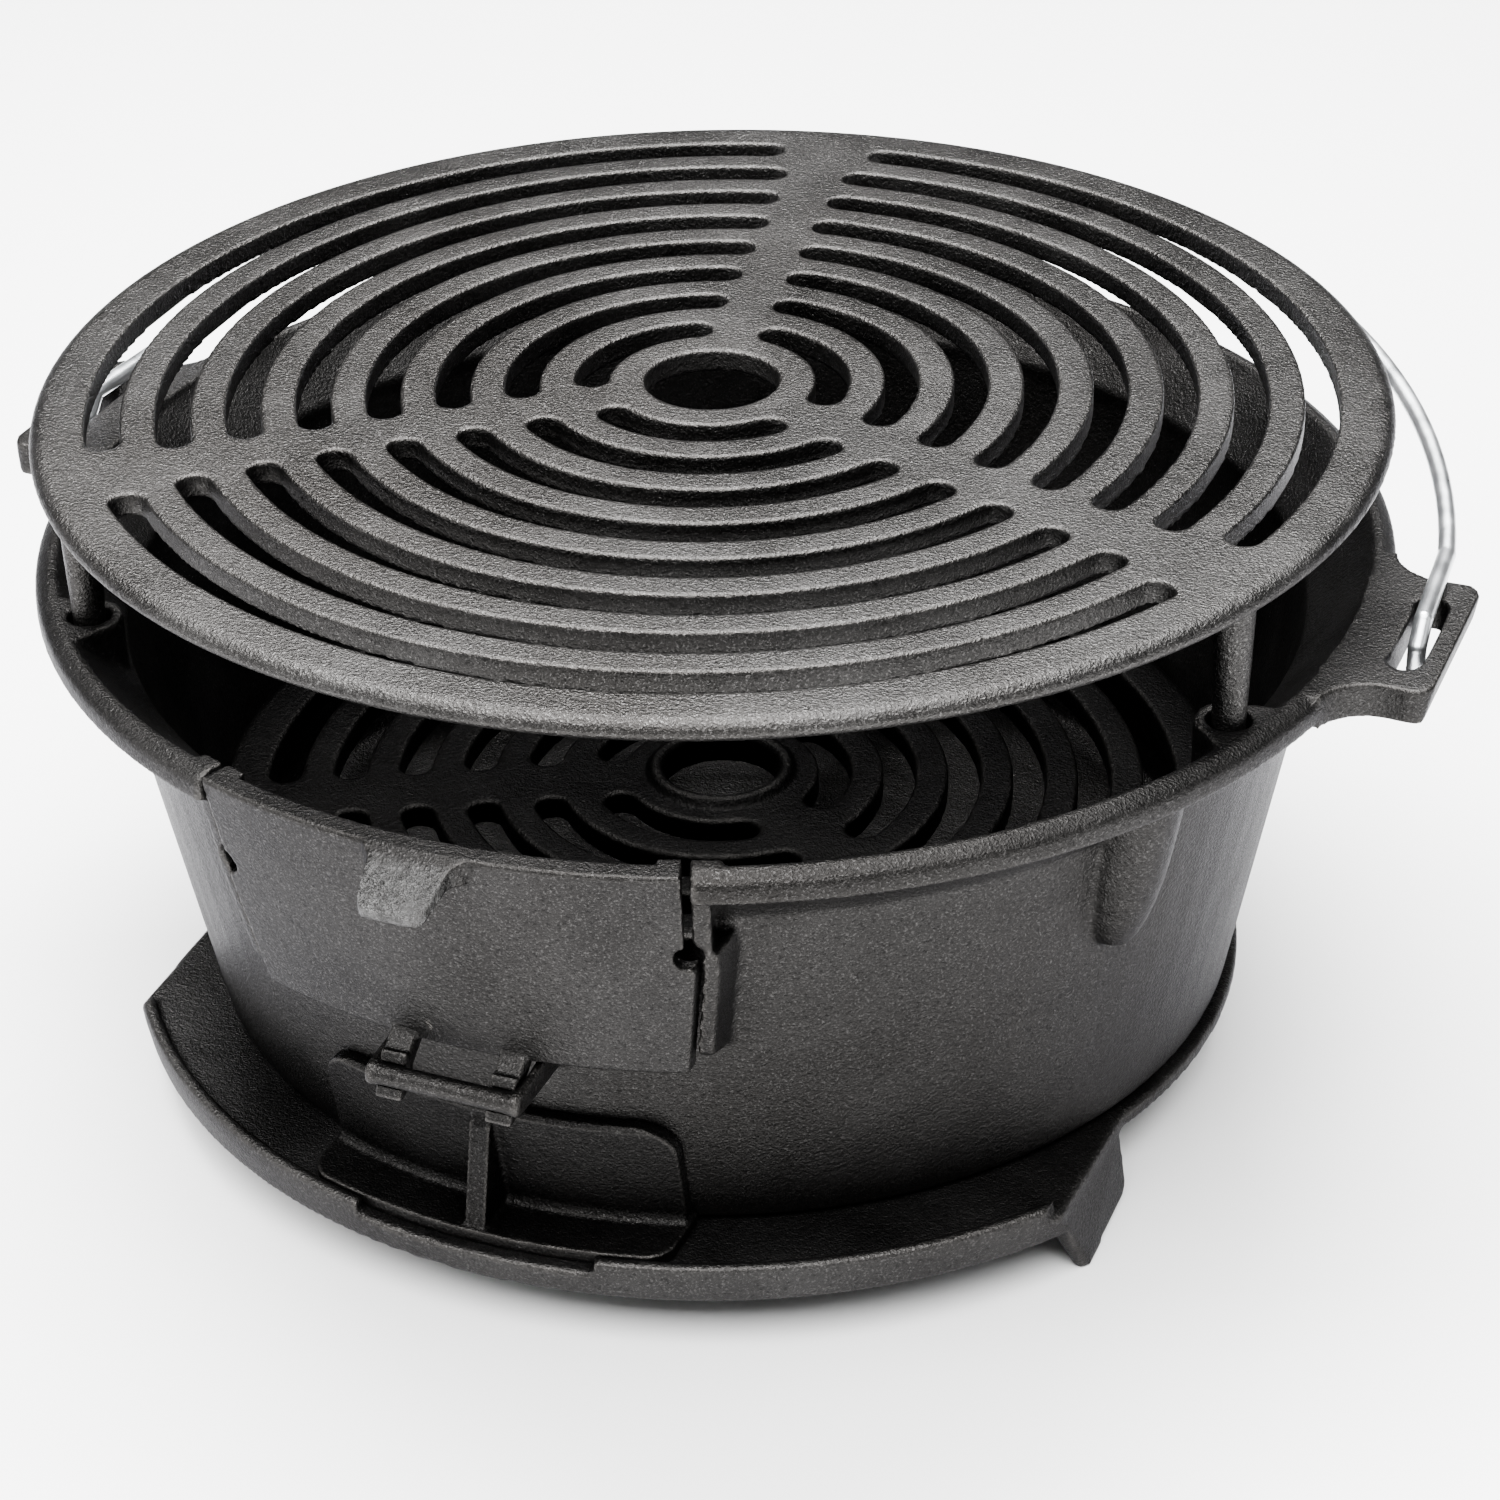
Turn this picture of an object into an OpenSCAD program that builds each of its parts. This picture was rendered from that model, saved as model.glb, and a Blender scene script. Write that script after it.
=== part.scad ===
// Round cast-iron hibachi grill: fire bowl on a footed ash tray, charcoal grate,
// legged grill grate, flip-down coal door, sliding draft door and a wire bail.
// Millimetres. Z is up, the ground is z = 0, the doors face -Y, the ears lie on X,
// and the bowl's axis is the Z axis.

/* [Bowl] */
// thickness of the bowl's wall
wall_t = 3.8; // [3.4:0.1:4.2]
// thickness of the bowl's floor
floor_t = 5.5; // [4.5:0.5:7]
// depth of the shallow sockets that the grill grate's legs stand in
socket_d = 6; // [5:0.5:6.5]
// radius of those sockets
socket_r = 5.4; // [5.1:0.1:5.8]

/* [Grates] */
// thickness of the grill grate
grill_t = 6; // [5:0.5:7]
// thickness of the charcoal grate
coal_t = 7; // [5:0.5:8]
// width of the ring slots in both grates
slot_w = 8.5; // [7.5:0.1:9.2]
// radius of the open hub in the grill grate
hub_r = 16.9; // [14:0.1:18.5]
// radius of the open hub in the charcoal grate
coal_hub_r = 15.3; // [13:0.1:16]
// radius of the grill grate's legs where they join the grate
leg_top_r = 5.0; // [4.4:0.1:6]
// radius of the legs' lower ends
leg_tip_r = 3.9; // [3.4:0.1:4.4]

/* [Doors] */
// thickness of the coal door's plate
door_t = 4.5; // [3.8:0.1:5]
// radius of the fixed bar that the coal door hangs on
bar_r = 2.7; // [2.4:0.1:3]
// radial running gap between that bar and the door's hooks
hook_gap = 0.08; // [0.03:0.01:0.1]
// thickness of the draft door's panel
panel_t = 3.9; // [3.4:0.1:4.2]
// thickness of the draft door's centre rib
rib_t = 5.5; // [4.5:0.1:7]

/* [Bail] */
// diameter of the bail's wire
wire_d = 4.6; // [4:0.1:5]
// angle above the rim at which the bail lies when it is folded back
bail_rest = 9; // [9:0.1:10.4]

/* [Tray] */
// height of the tray's front lip above its floor
lip_h = 3.5; // [2:0.5:3.5]
// radius of the tie bolts
bolt_r = 4; // [3.5:0.1:4.2]

/* [Hidden] */
$fn = 96;

grill_top = 181;
rim_z = 143.6;
band_z = 136.1;
rim_r = 172.5;
neck_z = 126;
tray_z = 21.5;
tray_t = 4;
coal_top = 66.3;
pitch = 17.35;
coal_pitch = 17.2;
lug_r = 160.7;
lug_angles = [-20, 100, 220];
coal_spokes = [87.5, 207.5, 327.5];
bolt_angles = [-30, 90, 210];
fin_angles = [-29, 91, 211];
ledge_angles = [30, 150, 270];
bar_y = -167;
bar_z = 76;
ear_x = 192;
pin_z = rim_z + wire_d / 2 + 0.3;
front_y = 186;
bail_drop = 5.9;
bail_back = 1;
bail_r = (front_y - wire_d / 2 - bail_back * cos(bail_rest) - bail_drop * sin(bail_rest)) / cos(bail_rest);
hook_x = 183;
gap = 0.1;

function rp(r, a) = [r * cos(a), r * sin(a)];
// outer radius of the bowl's tapered wall at height z
function wall_r(z) = 135.9 + (z - tray_z) * 0.185;
// outer radius of the coal door and its jambs at height z
function door_r(z) = 159 + (z - 81.5) * 0.2174;

module wedge2d(a0, a1, big = 300) {
  polygon(concat([[0, 0]], [for (i = [0:6]) rp(big, a0 + (a1 - a0) * i / 6)]));
}
module wedge(a0, a1, z0, z1) {
  translate([0, 0, z0]) linear_extrude(z1 - z0) wedge2d(a0, a1);
}
module ring2d(ri, ro) { difference() { circle(ro); circle(ri); } }

// a ring slot with round ends between two angles
module ring_slot(ri, w, a0, a1, z0, z1) {
  rm = ri + w / 2;
  translate([0, 0, z0]) linear_extrude(z1 - z0) {
    intersection() { ring2d(ri, ri + w); wedge2d(a0, a1); }
    translate(rp(rm, a0)) circle(w / 2 - 0.02, $fn = 48);
    translate(rp(rm, a1)) circle(w / 2 - 0.02, $fn = 48);
  }
}
// edges of the door opening, of the door in it and of the jambs beside it
open_a = [-110.75, -69.5];
door_a = [-110.3, -70.15];
jamb_a = [-112.3, -68];
notch_z = 118.7;
// half the gap that a spoke leaves between two slot ends, ring by ring
function spoke_half(i, wide) = wide ? 8.2 : (i < 5 ? 6.25 : i == 5 ? 7.15 : i == 6 ? 8.2 : 12.5);
module ring_slots(n, spokes, wide, step, z0, z1) {
  for (i = [0:n - 1]) {
    ri = 26 + i * step + (8.5 - slot_w) / 2;
    rm = ri + slot_w / 2;
    off = asin((spoke_half(i, wide) + slot_w / 2) / rm);
    for (k = [0:2]) ring_slot(ri, slot_w, spokes[k] + off, spokes[k] + 120 - off, z0, z1);
  }
}

// ---------------------------------------------------------------- fire bowl
module bowl_shell() {
  rotate_extrude($fn = 180) polygon([
    [0, tray_z], [wall_r(tray_z) - 2, tray_z], [wall_r(tray_z + 2), tray_z + 2],
    [wall_r(122), 122], [wall_r(122) + 2.2, 125.2], [165.2, band_z - 0.4], [168, band_z], [rim_r - 0.6, band_z],
    [rim_r, band_z + 0.8], [rim_r - 0.2, rim_z - 2.6], [rim_r - 1, rim_z - 1.6], [168.8, rim_z], [167, rim_z],
    [150.8, neck_z], [wall_r(neck_z - 4) - wall_t, neck_z - 4],
    [wall_r(tray_z + floor_t + 8) - wall_t, tray_z + floor_t + 8],
    [wall_r(tray_z + floor_t + 2) - wall_t - 2, tray_z + floor_t + 2],
    [wall_r(tray_z + floor_t) - wall_t - 8, tray_z + floor_t], [0, tray_z + floor_t]]);
}
// the opening that the coal door closes
module door_opening() {
  difference() {
    wedge(open_a[0], open_a[1], notch_z - 3.2, 150);
    translate([0, 0, 100]) cylinder(r = 120, h = 60);
  }
}
// one raised jamb, running down from the rim beside the coal door
module jamb(side) {
  low = 1.4;
  intersection() {
    rotate_extrude($fn = 180) polygon([
      [wall_r(83) - 1.5, 83], [wall_r(83) + 3, 83], [door_r(86) - low - 1, 86], [door_r(88) - low, 88], [door_r(134) - low, 134],
      [door_r(138) - low, 138], [166, 138], [158, 128], [wall_r(120) - 1.5, 118]]);
    union() {
      if (side > 0) wedge(open_a[1], jamb_a[1], notch_z - 1, 140);
      else wedge(jamb_a[0], open_a[0], notch_z - 1, 140);
      rotate([90, 0, 0]) translate([0, 0, 130]) linear_extrude(60)
        polygon([for (q = [[54.5, 81], [59.3, 113.4], [59.3, notch_z], [62.9, notch_z], [62.9, 113.4], [58.1, 81]]) [side * q[0], q[1]]]);
    }
  }
}
module ear() {
  fil = 14;
  half = 8.6;
  da = asin(fil / (rim_r + fil));
  cx = ear_x - 5;
  cy = cx * tan(half) - 5;
  ear_z = band_z - 1.5;
  intersection() {
  translate([0, 0, ear_z]) linear_extrude(rim_z - ear_z) difference() {
    union() {
      intersection() { ring2d(166, 200); wedge2d(-half, half); translate([150, -50]) square([cx - 150, 100]); }
      translate([cx - 1, -cy]) square([6, 2 * cy]);
      for (s = [-1, 1]) translate([cx, s * cy]) circle(4.98, $fn = 64);
      for (s = [-1, 1]) difference() {
        polygon([rp(167, s * 8), rp(167, s * (half + da)), rp(rim_r + 0.05, s * (half + da)),
                 rp((rim_r + fil) * cos(da), s * (half - 0.02)), rp((rim_r + fil) * cos(da), s * 8)]);
        translate(rp(rim_r + fil, s * (half + da))) circle(fil, $fn = 96);
      }
    }
    // slot for the bail's hook
    intersection() { ring2d(179, 187); wedge2d(-4.5, 4.5); }
    for (s = [-1, 1]) translate(rp(183, s * 4.5)) circle(3.98, $fn = 48);
  }
  // outer face drafted inwards below, under side rising into the rim
  rotate([90, 0, 0]) translate([0, 0, -60]) linear_extrude(120)
    polygon([[160, rim_z + 1], [ear_x + 1, rim_z + 1], [ear_x + 0.01, rim_z - 1], [ear_x - 1.7, ear_z - 0.1], [168.5, ear_z - 0.1], [166, band_z], [160, band_z]]);
  }
}
module lug(a) {
  intersection() {
    rotate([0, 0, a]) {
      translate([0, 0, 127]) linear_extrude(rim_z - 127) {
        translate([lug_r, 0]) circle(8.2, $fn = 64);
        polygon([[lug_r - 2, -7.9], [168.5, -13], [168.5, 13], [lug_r - 2, 7.9]]);
      }
    }
    rotate_extrude($fn = 180) polygon([[120, 110], [wall_r(110) - 1, 110], [wall_r(122) - 1, 122], [wall_r(122) + 1, 125.4],
      [164.2, band_z - 0.4], [167.2, band_z + 0.4], [169, band_z + 1], [169, rim_z], [120, rim_z]]);
  }
}
// tapered gusset with a blunt foot under the rim
module fin(a) {
  rotate([0, 0, a]) translate([147.5, 0, 88.2]) rotate([0, 12.5, 0]) rotate_extrude($fn = 64)
    polygon([[0, 0], [3.6, 0.6], [5.6, 2.4], [6.8, 5.4], [7.9, 10], [8.8, 16], [9.4, 23], [9.6, 30], [9.6, 49.5], [0, 49.5]]);
}
module fire_bowl() color([0.20, 0.19, 0.18]) {
  difference() {
    union() {
      difference() {
        union() {
          bowl_shell();
          for (a = [0, 180]) rotate([0, 0, a]) ear();
          for (a = lug_angles) lug(a);
          intersection() {
            for (a = fin_angles) fin(a);
            difference() {
              rotate_extrude($fn = 180) polygon([[140, 80], [171.6, 80], [171.6, 138], [140, 138]]);
              rotate_extrude($fn = 180) polygon([[0, 80], [wall_r(80) - 2, 80], [wall_r(122) - 2, 122], [163, 137.9], [163, 139], [0, 139]]);
            }
          }
        }
        door_opening();
      }
      jamb(1);
      jamb(-1);
      // short inner ledges behind the ends of the rim
      for (s = [-1, 1]) intersection() {
        translate([0, 0, 139.4]) linear_extrude(rim_z - 139.4) ring2d(164.2, 168);
        if (s > 0) wedge(open_a[1], -90 + 23, 130, 150);
        else wedge(-90 - 23.1, open_a[0], 130, 150);
      }
      // hinge bar on two webs
      translate([-19, bar_y, bar_z]) rotate([0, 90, 0]) cylinder(r = bar_r, h = 38);
      for (s = [-1, 1]) translate([s * 18.5 - 1.1, 0, 0]) rotate([90, 0, 90]) linear_extrude(2.2)
        polygon([[bar_y - bar_r - 0.2, bar_z - 1.4], [bar_y - 1, bar_z - bar_r - 0.3], [-142.5, 72.6], [-142.5, 80.6], [-150, 80.4], [bar_y - 1, bar_z + bar_r + 0.3], [bar_y - bar_r - 0.2, bar_z + 1.4]]);
      // ledges that carry the charcoal grate
      for (a = ledge_angles) intersection() {
        rotate([0, 0, a]) translate([126, -8, 46]) rotate([90, 0, 90]) linear_extrude(16) polygon([[3, 0], [13, 0], [16, coal_top - coal_t - 46.05], [0, coal_top - coal_t - 46.05]]);
        rotate_extrude($fn = 180) polygon([[126, coal_top - coal_t], [wall_r(coal_top) - 1.5, coal_top - coal_t], [wall_r(46) - 1.5, 46], [wall_r(46) - wall_t - 1, 46]]);
      }
    }
    // leg sockets
    for (a = lug_angles) rotate([0, 0, a]) translate([lug_r, 0, rim_z - socket_d]) cylinder(r = socket_r, h = socket_d + 5);
    // round reliefs at the foot of the two gaps beside the coal door
    for (s = [0, 1]) rotate([0, 0, (open_a[s] + door_a[s]) / 2]) translate([148, 0, notch_z]) rotate([0, 90, 0]) cylinder(r = 3.4, h = 30, $fn = 48);
    // vent behind the draft door
    rotate([90, 0, 0]) translate([0, 0, 125]) linear_extrude(25) {
      translate([-27, 32]) square([54, 18]);
      for (s = [-1, 1]) translate([s * 27, 41]) circle(8.98, $fn = 48);
    }
    // bolt holes
    for (a = bolt_angles) rotate([0, 0, a]) translate([118, 0, tray_z - 1]) cylinder(r = bolt_r + 0.1, h = floor_t + 2, $fn = 48);
  }
}

// ---------------------------------------------------------------- base tray
module front_leg(s) {
  hull() {
    translate([0, 0, 17.6]) linear_extrude(0.4) polygon([[s * 122.5, -50.5], [s * 128.4, -52.4], [s * 127.1, -93.6], [s * 122.5, -94]]);
    translate([s * 128.9, -54.4, 2.2]) cylinder(r = 2.1, h = 0.5, $fn = 24);
    translate([s * 129.1, -57.6, 0]) cylinder(r = 2.1, h = 1, $fn = 24);
    translate([s * 129.2, -84.2, 0]) cylinder(r = 2.3, h = 1, $fn = 24);
  }
}
module base_tray() color([0.17, 0.165, 0.16]) {
  difference() {
    union() {
      // ring under the bowl
      translate([0, 0, tray_z - tray_t]) linear_extrude(tray_t) ring2d(98, 138.7);
      // apron in front, with a skirt below and a lip above
      intersection() {
        difference() {
          rotate_extrude($fn = 180) polygon([
            [120, tray_z - tray_t], [152, tray_z - tray_t], [152.8, 14.4], [157.6, 14.2], [158.8, 21], [158.8, tray_z + lip_h - 0.8],
            [158.1, tray_z + lip_h], [156, tray_z + lip_h], [155.4, tray_z + lip_h - 0.6], [155.4, tray_z], [120, tray_z]]);
          wedge(-90.6 - 11.5, -90.6 + 11.5, tray_z, tray_z + 20);
          for (s = [-1, 1]) translate([s * 134.2 - 10, -110, tray_z]) cube([20, 60, 20]);
        }
        translate([0, 0, 5]) linear_extrude(30) polygon([[-128.8, -51.5], [-127, -95.3], [-127, -170], [127, -170], [127, -95.3], [128.8, -51.5]]);
      }
      for (s = [-1, 1]) front_leg(s);
      // back leg
      hull() {
        translate([0, 0, 17.6]) linear_extrude(0.4) polygon([[-24, 136.5], [-12, 138.1], [0, 138.6], [12, 138.1], [24, 136.5], [14, 129.5], [-14, 129.5]]);
        translate([0, 0, 9]) linear_extrude(0.2) polygon([[-14, 139.5], [0, 142.5], [14, 139.5], [8, 131], [-8, 131]]);
        translate([0, 140, 0]) cylinder(r = 4.2, h = 2, $fn = 24);
      }
    }
    for (a = bolt_angles) rotate([0, 0, a]) translate([118, 0, tray_z - tray_t - 1]) cylinder(r = bolt_r + 0.1, h = tray_t + 2, $fn = 48);
  }
}

// ------------------------------------------------------------------ fasteners
module tie_bolts() color("dimgray") {
  for (a = bolt_angles) rotate([0, 0, a]) translate([118, 0, 0]) {
    translate([0, 0, 7.5]) cylinder(r = bolt_r, h = tray_z + floor_t - 7.5, $fn = 48);
    translate([0, 0, tray_z + floor_t]) cylinder(r = 7.2, h = 5, $fn = 6);
  }
}
module tie_washers() color("gray") {
  for (a = bolt_angles) rotate([0, 0, a]) translate([118, 0, tray_z - tray_t - 1.6]) difference() {
    cylinder(r = 9, h = 1.6, $fn = 48);
    translate([0, 0, -1]) cylinder(r = bolt_r + 0.1, h = 4, $fn = 48);
  }
}
module tie_nuts() color("dimgray") {
  for (a = bolt_angles) rotate([0, 0, a]) translate([118, 0, tray_z - tray_t - 1.6 - 6]) difference() {
    cylinder(r = 7.2, h = 6, $fn = 6);
    translate([0, 0, -1]) cylinder(r = bolt_r + 0.02, h = 8, $fn = 48);
  }
}

// -------------------------------------------------------------------- grates
module charcoal_grate() color([0.21, 0.20, 0.19]) {
  difference() {
    union() {
      rotate_extrude($fn = 180) polygon([
        [coal_hub_r, coal_top - coal_t], [130.5, coal_top - coal_t], [132, coal_top - coal_t + 1.2], [133, coal_top - 2.2],
        [132.6, coal_top - 0.8], [131.4, coal_top], [coal_hub_r, coal_top]]);
      // raised collar round the hub
      rotate_extrude($fn = 120) polygon([[coal_hub_r, coal_top - 1], [19.6, coal_top - 1], [19.4, coal_top + 1.1], [18.6, coal_top + 2.1], [17.4, coal_top + 2.5], [16.2, coal_top + 2.1], [coal_hub_r, coal_top + 1.1]]);
    }
    ring_slots(6, coal_spokes, true, coal_pitch, coal_top - coal_t - 1, coal_top + 4);
  }
}
module grill_grate() color([0.24, 0.235, 0.23]) {
  difference() {
    rotate_extrude($fn = 180) polygon([
      [hub_r, grill_top - grill_t], [166.2, grill_top - grill_t], [168.2, grill_top - grill_t + 0.8], [169.4, grill_top - grill_t + 2],
      [169.7, grill_top - 3.2], [169.3, grill_top - 1.8], [168.2, grill_top - 0.7], [166.4, grill_top], [hub_r, grill_top]]);
    ring_slots(8, lug_angles, false, pitch, grill_top - grill_t - 1, grill_top + 1);
  }
  for (a = lug_angles) rotate([0, 0, a]) translate([lug_r, 0, rim_z - socket_d + 0.03])
    cylinder(r1 = leg_tip_r, r2 = leg_top_r, h = grill_top - grill_t - rim_z + socket_d + 0.97, $fn = 48);
}

// ----------------------------------------------------------------- coal door
module coal_door() color([0.23, 0.225, 0.22]) {
  difference() {
    union() {
      // plate with a thicker top edge
      intersection() {
        rotate_extrude($fn = 180) polygon([
          [door_r(81.5) - door_t, 81.5], [door_r(81.5) - 0.8, 81.5], [door_r(82.5), 82.5], [door_r(142.8), 142.8], [door_r(142.8) - 0.6, rim_z],
          [166.6, rim_z], [166, rim_z - 0.8], [166, 139], [door_r(136) - door_t, 136]]);
        wedge(door_a[0], door_a[1], notch_z - 3, 150);
      }
      // lower part, which widens a little towards the reliefs
      intersection() {
        rotate_extrude($fn = 180) polygon([
          [door_r(81.5) - door_t, 81.5], [door_r(81.5) - 0.8, 81.5], [door_r(82.5), 82.5], [door_r(notch_z - 2.6), notch_z - 2.6], [door_r(notch_z - 2.6) - door_t, notch_z - 2.6]]);
        rotate([90, 0, 0]) translate([0, 0, 130]) linear_extrude(60)
          polygon([[-53.6, 81], [53.6, 81], [58.4, 113.4], [57.9, notch_z], [-57.9, notch_z], [-58.4, 113.4]]);
      }
      // inner tongues at the two top ends
      for (s = [-1, 1]) intersection() {
        translate([0, 0, 139.4]) linear_extrude(rim_z - 139.4) ring2d(164.2, 168);
        if (s > 0) wedge(-90 + 17.9, door_a[1], 130, 150);
        else wedge(door_a[0], -90 - 18.2, 130, 150);
      }
      // ribs at the back that seat on the bowl's wall
      for (s = [-1, 1]) intersection() {
        rotate_extrude($fn = 180) polygon([
          [wall_r(86) + gap, 86], [door_r(86) - 1, 86], [door_r(112) - 1, 112], [wall_r(112) + gap, 112]]);
        if (s > 0) wedge(-90 + 17.0, -90 + 18.4, 80, 115);
        else wedge(-90 - 18.4, -90 - 17.0, 80, 115);
      }
      // pull tab at the top centre
      intersection() {
        translate([-20, 0, 0]) rotate([90, 0, 90]) linear_extrude(40)
          polygon([[-168.5, rim_z - 5], [-168.5, rim_z], [-171, rim_z], [-172.8, rim_z - 0.6], [-front_y + 1.4, rim_z - 7.2],
                   [-front_y, rim_z - 8.6], [-front_y, rim_z - 10.4], [-front_y + 0.8, rim_z - 11], [-176, rim_z - 6.6], [-171, rim_z - 6.4]]);
        translate([-1.1, 0, 120]) linear_extrude(30) {
          polygon([[-12.2, -165], [-12.2, -172.2], [-9.9, -174.6], [-8.7, -front_y + 4], [8.6, -front_y + 4], [10.1, -174.6], [12.4, -172.2], [12.4, -165]]);
          polygon([[-4.8, -front_y], [-8.7, -front_y + 4.1], [8.6, -front_y + 4.1], [4.7, -front_y]]);
          for (s = [-1, 1]) translate([s * 4.7, -front_y + 3.92]) circle(3.9, $fn = 48);
        }
      }
      // two hooked legs behind the hinge bar
      for (s = [-1, 1]) translate([s * 13.95 - 3.25, 0, 0]) {
        rotate([90, 0, 90]) linear_extrude(6.5) difference() {
          polygon([[bar_y + 2.6, bar_z + bar_r + hook_gap + 0.5], [-158.6, 84], [-155, 84], [-155, 80.5], [bar_y + 5.7, bar_z], [bar_y + 3, bar_z]]);
          translate([bar_y, bar_z]) circle(bar_r + hook_gap + 0.6, $fn = 96);
        }
        translate([0, bar_y, bar_z]) rotate([90, 0, 90]) linear_extrude(6.5) difference() {
          circle(bar_r + hook_gap + 3, $fn = 96);
          circle(bar_r + hook_gap, $fn = 96);
          polygon([[0, 0], rp(20, 62), rp(28, 100), rp(28, 150), rp(28, 200), rp(20, 246)]);
        }
      }
    }
    // round reliefs in the side edges
    for (s = [0, 1]) rotate([0, 0, (open_a[s] + door_a[s]) / 2]) translate([148, 0, notch_z]) rotate([0, 90, 0]) cylinder(r = 3.4, h = 30, $fn = 48);
  }
}

// ---------------------------------------------------------------- draft door
module draft_door() color([0.19, 0.185, 0.18]) rotate([0, 0, -0.8]) {
  z0 = tray_z + 0.05;
  zf = 25;
  zt = 55.6;
  // curved panel in front of the vent
  intersection() {
    rotate_extrude($fn = 180) polygon([
      [wall_r(z0) + gap, z0], [wall_r(z0) + gap + panel_t + 2, z0], [wall_r(zf) + gap + panel_t + 1.2, zf + 0.3],
      [wall_r(zf + 1.6) + gap + panel_t + 0.3, zf + 1.4], [wall_r(zf + 2.4) + gap + panel_t - 0.2, zf + 2.2],
      [wall_r(zt) + gap + panel_t, zt - 1], [wall_r(zt) + gap + panel_t - 1, zt], [wall_r(zt) + gap, zt]]);
    rotate([90, 0, 0]) translate([0, 0, 100]) linear_extrude(80) {
      translate([-46.7, z0]) square([93.4, zt - 9 - z0]);
      translate([-37.7, z0]) square([75.4, zt - z0]);
      for (s = [-1, 1]) translate([s * 37.7, zt - 9.02]) circle(8.98, $fn = 64);
    }
  }
  // floor plate that slides on the tray
  translate([0, 0, z0]) linear_extrude(zf - z0) difference() {
    union() {
      intersection() { circle(154.9); translate([-39.7, -160]) square([79.4, 60]); }
      translate([-47.9, -141.3]) square([95.8, 30]);
      for (s = [-1, 1]) translate([s * 39.7, -141.3]) circle(8.22, $fn = 64);
    }
    circle(wall_r(25) + gap + 0.2);
    translate([-60, -127.4]) square([120, 200]);
  }
  // centre rib
  intersection() {
    translate([-rib_t / 2, 0, 0]) rotate([90, 0, 90]) linear_extrude(rib_t)
      polygon([[-140, z0 + 1], [-153, z0 + 1], [-153, zf + 1], [-147.6, zt - 4.5], [-145.2, zt - 2], [-140, zt - 2]]);
    rotate_extrude($fn = 180) polygon([[wall_r(z0) + gap + 1, z0], [160, z0], [160, zt], [wall_r(zt) + gap + 1, zt]]);
  }
}

// ---------------------------------------------------------------------- bail
module ball(p) { translate(p) sphere(wire_d / 2 + 0.05, $fn = 24); }
module rod(p, q) {
  d = q - p;
  l = norm(d);
  translate(p) rotate([0, acos(d[2] / l), atan2(d[1], d[0])]) cylinder(r = wire_d / 2, h = l, $fn = 24);
}
module bail_handle() color([0.72, 0.74, 0.76]) {
  translate([0, 0, pin_z]) rotate([bail_rest, 0, 0]) {
    translate([0, bail_back, -bail_drop]) rotate_extrude(angle = 158, start = 11, $fn = 150) translate([bail_r, 0]) circle(wire_d / 2, $fn = 24);
    for (s = [-1, 1]) {
      p0 = [s * bail_r * cos(11), bail_back + bail_r * sin(11), -bail_drop];
      p1 = [s * hook_x, 2.0, -0.2];
      p2 = [s * hook_x, -3.6, -4.6];
      p3 = [s * hook_x, -4.6, -10.2];
      p4 = [s * hook_x, -1.2, -12.9];
      ball(p0); rod(p1, p0); ball(p1); rod(p2, p1); ball(p2); rod(p3, p2); ball(p3); rod(p4, p3); ball(p4);
    }
  }
}

fire_bowl();
base_tray();
charcoal_grate();
grill_grate();
coal_door();
draft_door();
bail_handle();
tie_bolts();
tie_washers();
tie_nuts();
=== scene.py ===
import math

import bpy
from mathutils import Matrix, Vector

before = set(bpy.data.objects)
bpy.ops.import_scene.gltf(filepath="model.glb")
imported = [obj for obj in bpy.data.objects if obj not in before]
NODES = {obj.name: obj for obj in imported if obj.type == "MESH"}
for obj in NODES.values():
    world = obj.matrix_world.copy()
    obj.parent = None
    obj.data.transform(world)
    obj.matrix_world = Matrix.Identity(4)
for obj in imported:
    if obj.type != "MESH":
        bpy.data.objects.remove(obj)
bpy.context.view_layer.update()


# ------------------------------------------------------------------ materials
def new_material(name):
    m = bpy.data.materials.new(name)
    m.use_nodes = True
    nt = m.node_tree
    nt.nodes.clear()
    out = nt.nodes.new("ShaderNodeOutputMaterial")
    bsdf = nt.nodes.new("ShaderNodeBsdfPrincipled")
    nt.links.new(bsdf.outputs["BSDF"], out.inputs["Surface"])
    return m, nt, bsdf


def add(nt, kind, **props):
    n = nt.nodes.new(kind)
    for k, v in props.items():
        setattr(n, k, v)
    return n


def noise(nt, vec, scale, detail=2.0, rough=0.5, distortion=0.0):
    n = add(nt, "ShaderNodeTexNoise")
    n.inputs["Scale"].default_value = scale
    n.inputs["Detail"].default_value = detail
    n.inputs["Roughness"].default_value = rough
    n.inputs["Distortion"].default_value = distortion
    nt.links.new(vec, n.inputs["Vector"])
    return n.outputs["Fac"]


def ramp(nt, fac, a, b, lo=0.0, hi=1.0):
    n = add(nt, "ShaderNodeMapRange")
    n.inputs["From Min"].default_value = a
    n.inputs["From Max"].default_value = b
    n.inputs["To Min"].default_value = lo
    n.inputs["To Max"].default_value = hi
    n.clamp = True
    nt.links.new(fac, n.inputs["Value"])
    return n.outputs["Result"]


def math_node(nt, op, a, b=None, clamp=False):
    n = add(nt, "ShaderNodeMath", operation=op, use_clamp=clamp)
    for i, v in enumerate((a, b)):
        if v is None:
            continue
        if isinstance(v, (int, float)):
            n.inputs[i].default_value = v
        else:
            nt.links.new(v, n.inputs[i])
    return n.outputs[0]


def mix_colour(nt, fac, a, b):
    n = add(nt, "ShaderNodeMix", data_type="RGBA")
    if isinstance(fac, (int, float)):
        n.inputs[0].default_value = fac
    else:
        nt.links.new(fac, n.inputs[0])
    for i, v in ((6, a), (7, b)):
        if isinstance(v, tuple):
            n.inputs[i].default_value = (*v, 1.0)
        else:
            nt.links.new(v, n.inputs[i])
    return n.outputs[2]


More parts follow.
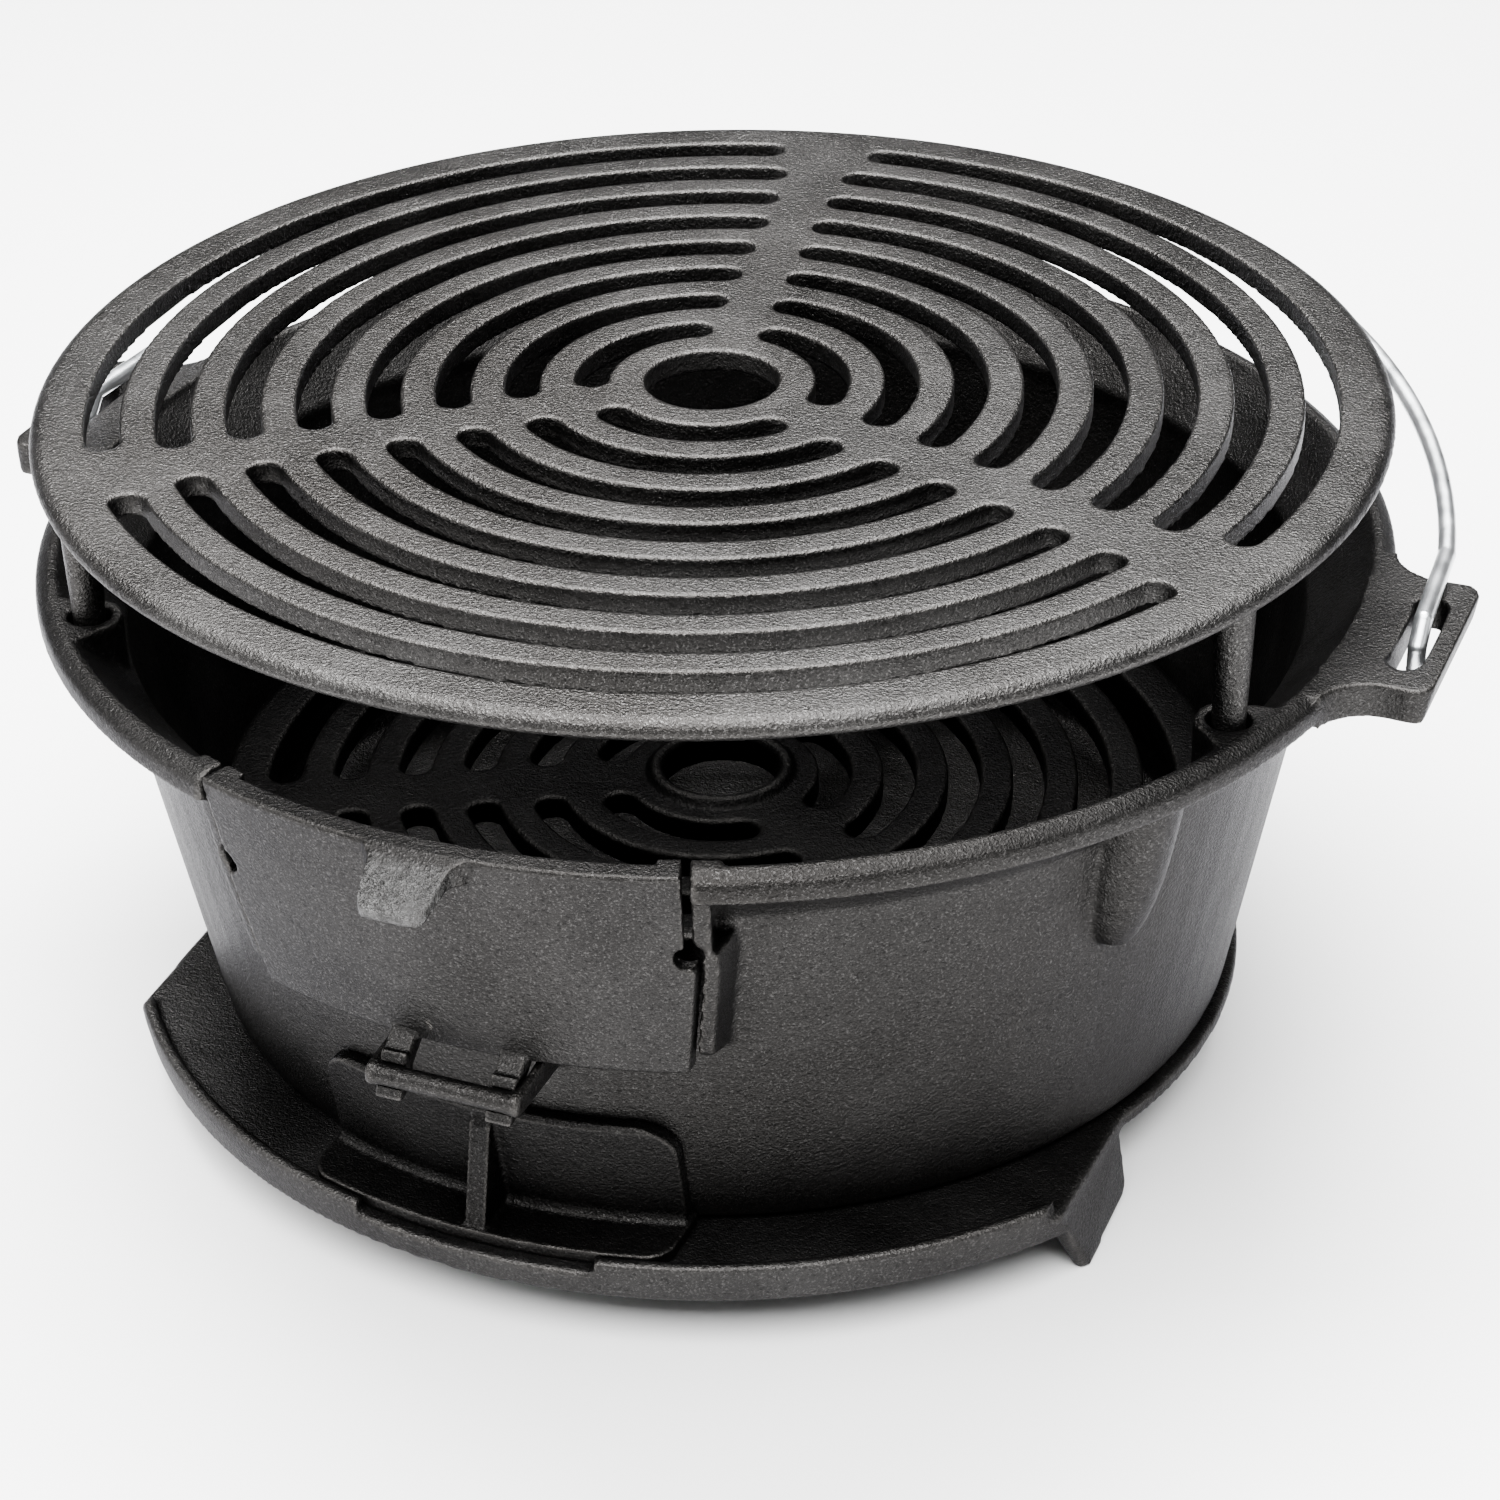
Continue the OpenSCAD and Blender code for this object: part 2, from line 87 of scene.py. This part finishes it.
def cast_iron(name, dark, light, rough=(0.36, 0.52), grain=1.0, edge=0.6, seed=0.0, worn=None, seasoned=(0.0110, 0.0098, 0.0090), skin=0.55):
    """Seasoned sand-cast iron: sandy grain, blotchy seasoning, edges lightened partly by wear and partly as a painted
    edge highlight, hollows darkened as painted shade.
    """
    m, nt, bsdf = new_material(name)
    tc = add(nt, "ShaderNodeTexCoord")
    shift = add(nt, "ShaderNodeVectorMath", operation="ADD")
    nt.links.new(tc.outputs["Object"], shift.inputs[0])
    shift.inputs[1].default_value = (seed, seed * 0.7, seed * 1.3)
    p = shift.outputs[0]
    geo = add(nt, "ShaderNodeNewGeometry")

    blotch = noise(nt, p, 22, 5, 0.62, 0.4)
    patch = noise(nt, p, 7, 3, 0.5)
    sand = noise(nt, p, 1750, 2, 0.6)
    grit = noise(nt, p, 900, 2, 0.55)
    wave = noise(nt, p, 110, 2, 0.5)

    base = mix_colour(nt, ramp(nt, blotch, 0.34, 0.66), dark, light)
    base = mix_colour(nt, ramp(nt, patch, 0.45, 0.75, 0.0, 0.45), base, seasoned)
    # fine sparkle of the sandy skin
    spark = ramp(nt, sand, 0.55, 0.68)
    base = mix_colour(nt, math_node(nt, "MULTIPLY", spark, 0.45 * grain), base, tuple(min(1, c * 3.2) for c in light))
    pits = ramp(nt, grit, 0.44, 0.30)
    base = mix_colour(nt, math_node(nt, "MULTIPLY", pits, 0.55), base, tuple(c * 0.35 for c in dark))
    # edges lightened, partly as rubbed wear and partly as a painted edge highlight; hollows darkened as painted shade
    breakup = ramp(nt, noise(nt, p, 260, 3, 0.6), 0.35, 0.65, 0.35, 1.0)
    # painted edge highlight together with edge wear: pointiness lightens the base colour and lowers roughness on
    # edges
    edge_wear_and_highlight = math_node(nt, "MULTIPLY", ramp(nt, geo.outputs["Pointiness"], 0.515, 0.60), breakup)
    edge_wear_and_highlight = math_node(nt, "MULTIPLY", edge_wear_and_highlight, edge)
    base = mix_colour(nt, edge_wear_and_highlight, base, (0.075, 0.071, 0.067))
    # painted shade: pointiness darkens the base colour in hollows and creases
    painted_hollow_shade = ramp(nt, geo.outputs["Pointiness"], 0.49, 0.43)
    base = mix_colour(nt, math_node(nt, "MULTIPLY", painted_hollow_shade, 0.55), base, tuple(c * 0.4 for c in dark))

    rgh = ramp(nt, blotch, 0.3, 0.7, rough[0], rough[1])
    rgh = math_node(nt, "ADD", rgh, ramp(nt, sand, 0.35, 0.7, 0.07, -0.07))
    rgh = math_node(nt, "SUBTRACT", rgh, math_node(nt, "MULTIPLY", edge_wear_and_highlight, 0.10), clamp=True)

    h = math_node(nt, "ADD", math_node(nt, "MULTIPLY", sand, 0.9), math_node(nt, "MULTIPLY", grit, 1.0))
    h = math_node(nt, "ADD", h, math_node(nt, "MULTIPLY", wave, 0.5))
    if worn:
        # a part of the casting left rough and bright, given as limits in metres
        sep = add(nt, "ShaderNodeSeparateXYZ")
        nt.links.new(tc.outputs["Object"], sep.inputs[0])
        my = ramp(nt, sep.outputs["Y"], worn[1], worn[0])
        mz = ramp(nt, sep.outputs["Z"], worn[2], worn[3])
        mask = math_node(nt, "MULTIPLY", my, mz)
        rough_n = noise(nt, p, 520, 4, 0.75)
        base = mix_colour(nt, math_node(nt, "MULTIPLY", mask, ramp(nt, rough_n, 0.36, 0.62, 0.25, 1.0)), base, (0.085, 0.084, 0.083))
        h = math_node(nt, "ADD", h, math_node(nt, "MULTIPLY", math_node(nt, "MULTIPLY", mask, rough_n), 5.0))
        rgh = math_node(nt, "ADD", rgh, math_node(nt, "MULTIPLY", mask, -0.08), clamp=True)
    bump = add(nt, "ShaderNodeBump")
    bump.inputs["Strength"].default_value = min(1.0, 0.8 * grain)
    bump.inputs["Distance"].default_value = 0.00034
    nt.links.new(h, bump.inputs["Height"])
    nt.links.new(bump.outputs[0], bsdf.inputs["Normal"])
    nt.links.new(base, bsdf.inputs["Base Color"])
    nt.links.new(rgh, bsdf.inputs["Roughness"])
    bsdf.inputs["Metallic"].default_value = 1.0
    # the sandy skin holds back the glancing reflection
    bsdf.inputs["Specular Tint"].default_value = (skin, skin, skin * 1.02, 1.0)
    return m


def zinc_wire(name):
    m, nt, bsdf = new_material(name)
    tc = add(nt, "ShaderNodeTexCoord")
    p = tc.outputs["Object"]
    cloud = noise(nt, p, 90, 4, 0.6)
    fine = noise(nt, p, 1400, 2, 0.6)
    base = mix_colour(nt, ramp(nt, cloud, 0.35, 0.68), (0.60, 0.62, 0.64), (0.80, 0.82, 0.84))
    stain = ramp(nt, noise(nt, p, 45, 3, 0.6), 0.60, 0.74, 0.0, 0.5)
    base = mix_colour(nt, stain, base, (0.42, 0.42, 0.41))
    nt.links.new(base, bsdf.inputs["Base Color"])
    nt.links.new(ramp(nt, cloud, 0.3, 0.7, 0.26, 0.40), bsdf.inputs["Roughness"])
    bsdf.inputs["Metallic"].default_value = 1.0
    bump = add(nt, "ShaderNodeBump")
    bump.inputs["Strength"].default_value = 0.25
    bump.inputs["Distance"].default_value = 0.0001
    nt.links.new(fine, bump.inputs["Height"])
    nt.links.new(bump.outputs[0], bsdf.inputs["Normal"])
    return m


def black_steel(name, tone, metal=0.9, rough=0.45):
    m, nt, bsdf = new_material(name)
    tc = add(nt, "ShaderNodeTexCoord")
    p = tc.outputs["Object"]
    cloud = noise(nt, p, 160, 4, 0.6)
    base = mix_colour(nt, ramp(nt, cloud, 0.35, 0.65), tuple(c * 0.7 for c in tone), tone)
    rust = ramp(nt, noise(nt, p, 380, 4, 0.65), 0.60, 0.72, 0.0, 0.55)
    base = mix_colour(nt, rust, base, (0.11, 0.055, 0.03))
    nt.links.new(base, bsdf.inputs["Base Color"])
    nt.links.new(ramp(nt, cloud, 0.3, 0.7, rough - 0.08, rough + 0.12), bsdf.inputs["Roughness"])
    bsdf.inputs["Metallic"].default_value = metal
    bump = add(nt, "ShaderNodeBump")
    bump.inputs["Strength"].default_value = 0.3
    bump.inputs["Distance"].default_value = 0.0001
    nt.links.new(noise(nt, p, 1500, 2), bump.inputs["Height"])
    nt.links.new(bump.outputs[0], bsdf.inputs["Normal"])
    return m


MATS = {
    "fire_bowl": cast_iron("iron_bowl", (0.0140, 0.0135, 0.0131), (0.0235, 0.0228, 0.0223), (0.34, 0.46), 1.0, 0.8, 0.0, seasoned=(0.0150, 0.0137, 0.0128)),
    "base_tray": cast_iron("iron_tray", (0.0200, 0.0193, 0.0189), (0.0330, 0.0321, 0.0315), (0.34, 0.46), 1.0, 0.8, 3.1, seasoned=(0.0165, 0.0151, 0.0142)),
    # painted shade: the charcoal grate gets a near-black copy of the cast iron for the shade inside the bowl
    "charcoal_grate": cast_iron("iron_coal_grate_painted_shade", (0.0022, 0.0021, 0.0021), (0.0042, 0.0041, 0.0040), (0.38, 0.50), 1.0, 0.3, 5.7, seasoned=(0.0036, 0.0034, 0.0032)),
    "grill_grate": cast_iron("iron_grill_grate", (0.0190, 0.0183, 0.0177), (0.0350, 0.0340, 0.0332), (0.30, 0.42), 1.25, 1.0, 1.9, seasoned=(0.0250, 0.0227, 0.0210)),
    "coal_door": cast_iron("iron_door", (0.0145, 0.0140, 0.0136), (0.0245, 0.0237, 0.0232), (0.34, 0.46), 1.0, 0.9, 7.3, worn=(-0.1785, -0.1735, 0.1320, 0.1335), seasoned=(0.0160, 0.0146, 0.0137)),
    # painted shade: the draft door gets a darker copy of the cast iron for the shade low under the bowl's overhang
    "draft_door": cast_iron("iron_draft_painted_shade", (0.0080, 0.0077, 0.0076), (0.0145, 0.0141, 0.0138), (0.35, 0.46), 1.0, 0.9, 9.4),
    "bail_handle": zinc_wire("zinc_wire"),
    "tie_bolts": black_steel("bolt_steel", (0.10, 0.10, 0.10)),
    "tie_washers": black_steel("washer_steel", (0.42, 0.43, 0.44), 1.0, 0.4),
    "tie_nuts": black_steel("nut_steel", (0.14, 0.14, 0.14)),
}

# voxel size in mm, smoothing steps, share of faces kept
CAST = {
    "fire_bowl": (0.95, 2, 0.40),
    "base_tray": (0.9, 2, 0.35),
    "charcoal_grate": (0.8, 2, 0.30),
    "grill_grate": (0.7, 3, 0.30),
    "coal_door": (0.55, 2, 0.45),
    "draft_door": (0.55, 2, 0.45),
}


def cast_look(o, voxel, smooth, keep):
    """Rounds every edge and inner corner as a sand casting has them."""
    w = o.modifiers.new("join_up", "WELD")
    w.merge_threshold = 1e-6
    r = o.modifiers.new("sand_skin", "REMESH")
    r.mode = "VOXEL"
    r.voxel_size = voxel / 1000
    r.use_smooth_shade = True
    s = o.modifiers.new("soft_edges", "SMOOTH")
    s.factor = 0.5
    s.iterations = smooth
    d = o.modifiers.new("lighten", "DECIMATE")
    d.ratio = keep


for name, o in NODES.items():
    o.data.materials.clear()
    o.data.materials.append(MATS[name])
    for poly in o.data.polygons:
        poly.material_index = 0
    if name in CAST:
        cast_look(o, *CAST[name])

# ---------------------------------------------------------------------- stage
floor_mesh = bpy.data.meshes.new("floor")
S = 4.0
floor_mesh.from_pydata([(-S, -S, -0.0004), (S, -S, -0.0004), (S, S, -0.0004), (-S, S, -0.0004)], [], [(0, 1, 2, 3)])
floor = bpy.data.objects.new("floor", floor_mesh)
bpy.context.scene.collection.objects.link(floor)
fm, fnt, fb = new_material("floor_white")
fb.inputs["Base Color"].default_value = (0.93, 0.93, 0.93, 1)
fb.inputs["Roughness"].default_value = 0.32
fb.inputs["Specular IOR Level"].default_value = 0.35
floor_mesh.materials.append(fm)


def area(name, loc, target, size, power, size_y=None):
    l = bpy.data.lights.new(name, "AREA")
    l.shape = "RECTANGLE"
    l.size = size
    l.size_y = size_y or size
    l.energy = power
    o = bpy.data.objects.new(name, l)
    bpy.context.scene.collection.objects.link(o)
    o.location = loc
    d = Vector(target) - Vector(loc)
    o.rotation_euler = d.to_track_quat("-Z", "Y").to_euler()
    return o


area("top_light", (-0.22, 0.44, 1.40), (0, 0, 0.12), 1.4, 135, 0.5)
area("overhead_light", (0.15, -0.75, 2.2), (0, -0.2, 0.0), 2.6, 330)
area("left_light", (-1.5, -0.9, 0.95), (0, 0, 0.1), 0.9, 26)
area("right_light", (1.7, -0.1, 0.7), (0, 0, 0.1), 0.6, 2.5)

world = bpy.data.worlds.new("studio")
bpy.context.scene.world = world
world.use_nodes = True
bg = world.node_tree.nodes.get("Background") or world.node_tree.nodes.new("ShaderNodeBackground")
bg.inputs["Color"].default_value = (1, 1, 1, 1)
bg.inputs["Strength"].default_value = 0.15

# --------------------------------------------------------------------- camera
az, el, roll = math.radians(22.5), math.radians(31.07), -0.01887
rt = Vector((math.cos(az), math.sin(az), 0))
fw = Vector((-math.sin(az) * math.cos(el), math.cos(az) * math.cos(el), -math.sin(el)))
up = rt.cross(fw)
right = rt * math.cos(roll) + up * math.sin(roll)
upv = -rt * math.sin(roll) + up * math.cos(roll)
cam = bpy.data.cameras.new("camera")
cam.lens = 90.34
cam.sensor_width = 36.0
cam.sensor_fit = "HORIZONTAL"
cam.clip_start = 0.01
co = bpy.data.objects.new("camera", cam)
bpy.context.scene.collection.objects.link(co)
co.matrix_world = Matrix.Translation(Vector((0.3347, -0.7878, 0.5879))) @ Matrix(
    ((right.x, upv.x, -fw.x), (right.y, upv.y, -fw.y), (right.z, upv.z, -fw.z))).to_4x4()
bpy.context.scene.camera = co
